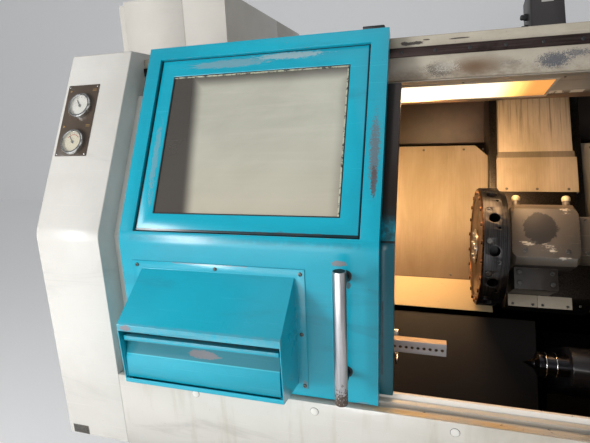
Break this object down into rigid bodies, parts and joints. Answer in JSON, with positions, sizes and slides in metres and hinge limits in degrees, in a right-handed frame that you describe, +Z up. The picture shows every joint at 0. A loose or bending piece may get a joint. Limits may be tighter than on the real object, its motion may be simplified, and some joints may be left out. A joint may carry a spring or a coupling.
{
  "type": "cnc turning lathe",
  "caption": "Slant-bed CNC turning lathe with a sliding windowed door, parts hood and drawer, drum turret, tailstock and rear switch cabinet.",
  "frame": {"origin": "middle of the footprint, on the floor", "axes": "+X along the spindle from headstock to tailstock, -Y towards the operator, +Z up"},
  "size_m": [2.333, 1.818, 2.04],
  "materials": {
    "off_white_paint": "smooth off-white enamel, scuffed near edges",
    "cream_paint": "cream enamel, chipped and smudged",
    "turquoise_paint": "turquoise enamel, worn to primer along edges",
    "grey_base_paint": "dark grey machine enamel",
    "machined_cast_iron": "machined iron, oiled",
    "ground_steel": "ground and brushed steel",
    "blued_steel": "blued steel, bare where worn",
    "coated_cover_sheet": "thin brushed sheet with oil stains",
    "stained_dark_sheet": "dark sheet under an oil film",
    "turret_grey_paint": "grey cast surface, chipped",
    "black_plastic": "black, matt",
    "bronze_plate": "dark bronze plate, worn",
    "chrome_bezel": "bright bezel",
    "window_pane": "clear pane with a coolant haze",
    "lamp_tube": "warm white tube",
    "red_plastic": "glossy red"
  },
  "bodies": {
    "frame": {"machine_base": "grey_base_paint", "levelling_foot_1": "machined_cast_iron", "levelling_foot_2": "machined_cast_iron", "levelling_foot_3": "machined_cast_iron", "levelling_foot_4": "machined_cast_iron", "slant_bed": "machined_cast_iron", "headstock_housing": "grey_base_paint", "left_column": "off_white_paint", "right_end_cover": "off_white_paint", "front_apron": "off_white_paint", "door_sill": "cream_paint", "headstock_cover": "off_white_paint", "top_beam": "cream_paint", "door_rail": "machined_cast_iron", "lamp_soffit": "cream_paint", "work_lamp_pane": "window_pane", "work_lamp_tube": "lamp_tube", "roof_panel": "off_white_paint", "rear_wall": "off_white_paint", "cabinet_body": "off_white_paint", "work_area_left_wall": "stained_dark_sheet", "work_area_right_wall": "stained_dark_sheet", "holed_angle_bar": "ground_steel", "gauge_plate": "bronze_plate", "upper_gauge": "chrome_bezel", "lower_gauge": "chrome_bezel", "control_panel": "cream_paint"},
    "spindle": {"spindle_shaft": "ground_steel", "chuck_body": "ground_steel"},
    "jaw_1": {"chuck_jaw_1": "ground_steel"},
    "jaw_2": {"chuck_jaw_2": "ground_steel"},
    "jaw_3": {"chuck_jaw_3": "ground_steel"},
    "carriage": {"saddle": "machined_cast_iron", "cross_feed_motor": "black_plastic", "cross_cover_upper": "coated_cover_sheet", "way_cover_left": "coated_cover_sheet", "way_cover_right": "coated_cover_sheet"},
    "cross": {"cross_slide": "machined_cast_iron", "turret_housing": "turret_grey_paint", "cross_cover_lower": "coated_cover_sheet"},
    "middle_cover": {"cross_cover_middle": "coated_cover_sheet"},
    "turret": {"turret_disc": "blued_steel"},
    "tailstock": {"tailstock_body": "turret_grey_paint"},
    "quill": {"tailstock_quill": "ground_steel"},
    "centre": {"live_centre": "ground_steel"},
    "door": {"door_shell": "turquoise_paint", "window_sash": "turquoise_paint", "window_pane": "window_pane", "door_end_post": "turquoise_paint", "door_lock_bracket": "black_plastic", "door_handle": "ground_steel", "parts_hood": "turquoise_paint"},
    "roller_1": {"door_roller_1": "ground_steel"},
    "roller_2": {"door_roller_2": "ground_steel"},
    "drawer": {"parts_drawer": "turquoise_paint"},
    "upper_needle": {"upper_gauge_needle": "black_plastic"},
    "lower_needle": {"lower_gauge_needle": "black_plastic"},
    "cabinet_front_leaf": {"cabinet_front_door": "off_white_paint"},
    "cabinet_rear_leaf": {"cabinet_rear_door": "off_white_paint"},
    "stop_button": {"emergency_stop": "red_plastic"}
  },
  "joints": [
    {"name": "door_slide", "type": "slide", "parent": "frame", "child": "door", "axis": [1, 0, 0], "range_m": [0, 0.6]},
    {"name": "drawer_slide", "type": "slide", "parent": "door", "child": "drawer", "axis": [0, -1, 0], "range_m": [0, 0.085]},
    {"name": "roller_1_spin", "type": "hinge", "parent": "door", "child": "roller_1", "pos_m": [-0.6535, -0.773, 0.9583], "axis": [0, 1, 0], "range_deg": [0, 1440]},
    {"name": "roller_2_spin", "type": "hinge", "parent": "door", "child": "roller_2", "pos_m": [-0.1835, -0.773, 0.9583], "axis": [0, 1, 0], "range_deg": [0, 1440]},
    {"name": "z_slide", "type": "slide", "parent": "frame", "child": "carriage", "axis": [1, 0, 0], "range_m": [-0.18, 0.04]},
    {"name": "x_slide", "type": "slide", "parent": "carriage", "child": "cross", "axis": [0, -0.5, -0.866], "range_m": [0, 0.08]},
    {"name": "middle_cover_slide", "type": "slide", "parent": "carriage", "child": "middle_cover", "axis": [0, -0.5, -0.866], "range_m": [0, 0.04]},
    {"name": "turret_index", "type": "hinge", "parent": "cross", "child": "turret", "pos_m": [0.1635, -0.341, 1.2022], "axis": [1, 0, 0], "continuous": true},
    {"name": "spindle_spin", "type": "hinge", "parent": "frame", "child": "spindle", "pos_m": [-0.1035, -0.497, 0.932], "axis": [1, 0, 0], "continuous": true},
    {"name": "jaw_1_slide", "type": "slide", "parent": "spindle", "child": "jaw_1", "axis": [0, 0.5, 0.866], "range_m": [-0.004, 0.004]},
    {"name": "jaw_2_slide", "type": "slide", "parent": "spindle", "child": "jaw_2", "axis": [0, -1, 0], "range_m": [-0.004, 0.004]},
    {"name": "jaw_3_slide", "type": "slide", "parent": "spindle", "child": "jaw_3", "axis": [0, 0.5, -0.866], "range_m": [-0.004, 0.004]},
    {"name": "tailstock_slide", "type": "slide", "parent": "frame", "child": "tailstock", "axis": [1, 0, 0], "range_m": [0, 0.2]},
    {"name": "quill_slide", "type": "slide", "parent": "tailstock", "child": "quill", "axis": [-1, 0, 0], "range_m": [0, 0.06]},
    {"name": "centre_spin", "type": "hinge", "parent": "quill", "child": "centre", "pos_m": [-0.1035, -0.497, 0.932], "axis": [1, 0, 0], "continuous": true},
    {"name": "upper_needle_swing", "type": "hinge", "parent": "frame", "child": "upper_needle", "pos_m": [-0.9125, -0.64518, 1.63931], "axis": [0, -0.8938, 0.4485], "range_deg": [-165, 95]},
    {"name": "lower_needle_swing", "type": "hinge", "parent": "frame", "child": "lower_needle", "pos_m": [-0.9125, -0.69183, 1.54635], "axis": [0, -0.8938, 0.4485], "range_deg": [-165, 95]},
    {"name": "cabinet_front_hinge", "type": "hinge", "parent": "frame", "child": "cabinet_front_leaf", "pos_m": [-1.1665, -0.081, 1.07], "axis": [0, 0, 1], "range_deg": [0, 110]},
    {"name": "cabinet_rear_hinge", "type": "hinge", "parent": "frame", "child": "cabinet_rear_leaf", "pos_m": [-1.1665, 0.899, 1.07], "axis": [0, 0, -1], "range_deg": [0, 110]},
    {"name": "stop_press", "type": "slide", "parent": "frame", "child": "stop_button", "axis": [0, 0.8938, -0.4485], "range_m": [0, 0.004], "stiffness_N_per_m": 1500}
  ],
  "couplings": [
    {"joint": "roller_1_spin", "follows": "door_slide", "rad_per_m": 41.667},
    {"joint": "roller_2_spin", "follows": "door_slide", "rad_per_m": 41.667},
    {"joint": "middle_cover_slide", "follows": "x_slide", "ratio": 0.5},
    {"joint": "jaw_2_slide", "follows": "jaw_1_slide", "ratio": 1},
    {"joint": "jaw_3_slide", "follows": "jaw_1_slide", "ratio": 1}
  ]
}
